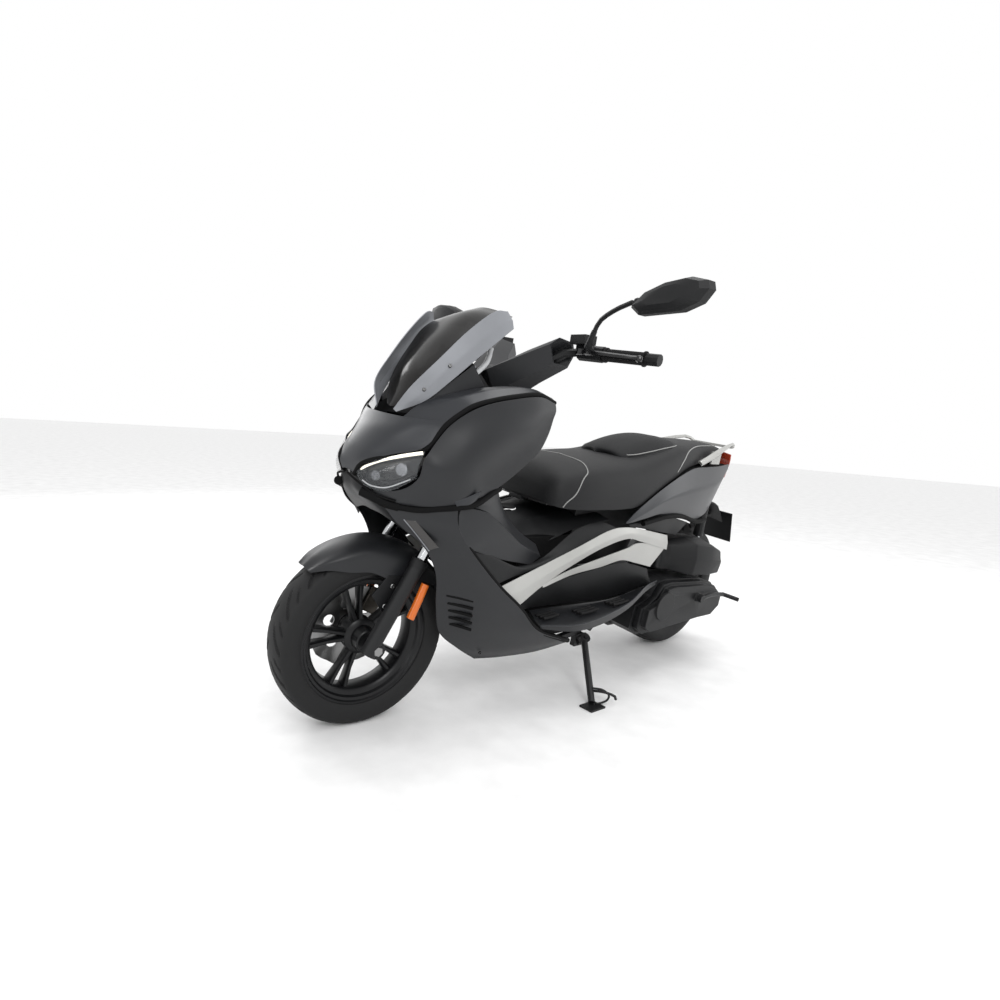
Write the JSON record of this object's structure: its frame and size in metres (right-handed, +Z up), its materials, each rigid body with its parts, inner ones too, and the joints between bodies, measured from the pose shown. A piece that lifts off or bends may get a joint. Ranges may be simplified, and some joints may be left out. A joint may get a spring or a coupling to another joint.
{
  "type": "moped scooter",
  "caption": "Maxi moped scooter on its side stand, with windscreen, two-level seat, sprung front fork and swinging engine unit.",
  "frame": {"origin": "bottom centre of the bounding box, on the ground", "axes": "+X forwards along the machine, +Y to the rider's left, +Z up; the machine leans 6.5 degrees to its left on the stand"},
  "size_m": [1.9936, 1.0558, 1.2522],
  "materials": {
    "charcoal_panel": "matte",
    "gunmetal_panel": "satin",
    "silver_trim": "satin",
    "black_plastic": "matte",
    "tyre_rubber": "matte",
    "grip_rubber": "matte",
    "clear_lens": "gloss",
    "smoked_screen": "gloss",
    "red_lens": "gloss",
    "frame_paint": "satin",
    "black_alloy": "satin",
    "silver_alloy": "satin",
    "steel": "satin",
    "seat_cover": "matte"
  },
  "bodies": {
    "chassis": {"frame": "frame_paint", "nose_panel": "gunmetal_panel", "side_panel_left": "charcoal_panel", "side_panel_right": "charcoal_panel", "headlight_lens_left": "clear_lens", "headlight_lens_right": "clear_lens", "headlight_housing": "black_plastic", "under_nose": "black_plastic", "windscreen": "smoked_screen", "screen_trim_left": "silver_trim", "screen_trim_right": "silver_trim", "front_fairing_left": "charcoal_panel", "front_fairing_right": "charcoal_panel", "inner_shield": "charcoal_panel", "center_tunnel": "black_plastic", "side_trim_left": "silver_trim", "side_trim_right": "silver_trim", "side_cover_left": "black_plastic", "side_cover_right": "black_plastic", "footboard_left": "black_plastic", "footboard_right": "black_plastic", "tail_panel_left": "gunmetal_panel", "tail_panel_right": "gunmetal_panel", "instrument_panel": "black_plastic", "storage_bucket": "black_plastic", "grab_rail": "silver_alloy", "tail_lamp": "red_lens", "plate_holder": "black_plastic"},
    "fuel_door": {"fuel_flap": "black_plastic"},
    "seat": {"seat_cushion": "seat_cover", "seat_base": "black_plastic"},
    "steering": {"steering_stem": "steel", "handlebar": "frame_paint", "handlebar_cover": "charcoal_panel", "switch_box_left": "black_plastic", "switch_box_right": "black_plastic", "grip_left": "grip_rubber"},
    "throttle": {"throttle_grip": "grip_rubber"},
    "left_lever": {"brake_lever_left": "black_alloy"},
    "right_lever": {"brake_lever_right": "black_alloy"},
    "left_mirror": {"mirror_left": "black_plastic"},
    "right_mirror": {"mirror_right": "black_plastic"},
    "front_fork": {"fork_lowers": "black_alloy", "front_fender": "charcoal_panel", "front_caliper": "black_alloy"},
    "front_wheel": {"front_tyre": "tyre_rubber", "front_rim": "black_alloy", "front_disc": "steel"},
    "swing_unit": {"engine_unit": "black_alloy", "cvt_cover": "black_plastic", "air_box": "black_plastic", "muffler": "frame_paint"},
    "rear_wheel": {"rear_tyre": "tyre_rubber", "rear_rim": "black_alloy"},
    "kick_starter": {"kick_lever": "steel"},
    "left_shock": {"shock_body_left": "black_alloy"},
    "left_shock_rod": {"shock_rod_left": "steel"},
    "right_shock": {"shock_body_right": "black_alloy"},
    "right_shock_rod": {"shock_rod_right": "steel"},
    "stand": {"side_stand": "frame_paint"}
  },
  "joints": [
    {"name": "steering", "type": "hinge", "parent": "chassis", "child": "steering", "pos_m": [0.48289, -0.05255, 0.69614], "axis": [-0.454, 0.1009, 0.8853], "range_deg": [-26, 35]},
    {"name": "fork_slide", "type": "slide", "parent": "steering", "child": "front_fork", "axis": [-0.454, 0.1009, 0.8853], "range_m": [-0.02, 0.045], "stiffness_N_per_m": 12000, "springref_m": -0.0255},
    {"name": "front_wheel_spin", "type": "hinge", "parent": "front_fork", "child": "front_wheel", "pos_m": [0.74746, -0.10606, 0.24927], "axis": [0.073, 0.9944, -0.0759], "continuous": true},
    {"name": "throttle_twist", "type": "hinge", "parent": "steering", "child": "throttle", "pos_m": [0.2065, -0.21367, 1.07313], "axis": [-0.2484, -0.9685, 0.0171], "range_deg": [0, 70], "stiffness_Nm_per_rad": 0.3, "springref_deg": -17.19},
    {"name": "brake_lever_left_pull", "type": "hinge", "parent": "steering", "child": "left_lever", "pos_m": [0.2979, 0.18457, 1.04283], "axis": [-0.0014, 0.0762, 0.9971], "range_deg": [0, 12], "stiffness_Nm_per_rad": 3, "springref_deg": -5.73},
    {"name": "brake_lever_right_pull", "type": "hinge", "parent": "steering", "child": "right_lever", "pos_m": [0.26928, -0.20525, 1.07257], "axis": [0.0014, -0.0762, -0.9971], "range_deg": [0, 12], "stiffness_Nm_per_rad": 3, "springref_deg": -5.73},
    {"name": "mirror_left_tilt", "type": "hinge", "parent": "steering", "child": "left_mirror", "pos_m": [0.31512, 0.3481, 1.1467], "axis": [-0.0014, 0.0762, 0.9971], "range_deg": [-20, 20]},
    {"name": "mirror_right_tilt", "type": "hinge", "parent": "steering", "child": "right_mirror", "pos_m": [0.26372, -0.35198, 1.20011], "axis": [0.0014, -0.0762, -0.9971], "range_deg": [-20, 20]},
    {"name": "swing_unit_hinge", "type": "hinge", "parent": "chassis", "child": "swing_unit", "pos_m": [-0.15745, -0.10485, 0.23711], "axis": [0, 0.9936, -0.1132], "range_deg": [-3, 4.5], "stiffness_Nm_per_rad": 5200, "springref_deg": -2.48},
    {"name": "rear_wheel_spin", "type": "hinge", "parent": "swing_unit", "child": "rear_wheel", "pos_m": [-0.72345, -0.1027, 0.25598], "axis": [0, 0.9936, -0.1132], "continuous": true},
    {"name": "kick_lever_hinge", "type": "hinge", "parent": "swing_unit", "child": "kick_starter", "pos_m": [-0.54445, 0.14659, 0.27086], "axis": [0, 0.9936, -0.1132], "range_deg": [-55, 0], "stiffness_Nm_per_rad": 3, "springref_deg": 28.65},
    {"name": "fuel_flap_hinge", "type": "hinge", "parent": "chassis", "child": "fuel_door", "pos_m": [0.30555, -0.06365, 0.59877], "axis": [0, 0.9936, -0.1132], "range_deg": [0, 80]},
    {"name": "seat_hinge", "type": "hinge", "parent": "chassis", "child": "seat", "pos_m": [0.23955, -0.0607, 0.6246], "axis": [0, 0.9936, -0.1132], "range_deg": [0, 48]},
    {"name": "shock_left_hinge", "type": "hinge", "parent": "chassis", "child": "left_shock", "pos_m": [-0.71445, 0.03098, 0.63428], "axis": [0, 0.9936, -0.1132], "range_deg": [-1, 0.8]},
    {"name": "shock_left_slide", "type": "slide", "parent": "left_shock", "child": "left_shock_rod", "axis": [-0.0752, -0.1316, -0.9885], "range_m": [-0.05, 0.034]},
    {"name": "shock_right_hinge", "type": "hinge", "parent": "chassis", "child": "right_shock", "pos_m": [-0.71445, -0.14786, 0.65466], "axis": [0, 0.9936, -0.1132], "range_deg": [-1, 0.8]},
    {"name": "shock_right_slide", "type": "slide", "parent": "right_shock", "child": "right_shock_rod", "axis": [-0.0752, -0.0942, -0.9927], "range_m": [-0.05, 0.034]},
    {"name": "side_stand_hinge", "type": "hinge", "parent": "chassis", "child": "stand", "pos_m": [-0.04845, 0.03518, 0.15875], "axis": [0.169, 0.6902, 0.7036], "range_deg": [0, 85]}
  ],
  "couplings": [
    {"joint": "shock_left_hinge", "follows": "swing_unit_hinge", "ratio": -0.19},
    {"joint": "shock_left_slide", "follows": "swing_unit_hinge", "m_per_rad": -0.5846},
    {"joint": "shock_right_hinge", "follows": "swing_unit_hinge", "ratio": -0.19},
    {"joint": "shock_right_slide", "follows": "swing_unit_hinge", "m_per_rad": -0.5846}
  ]
}
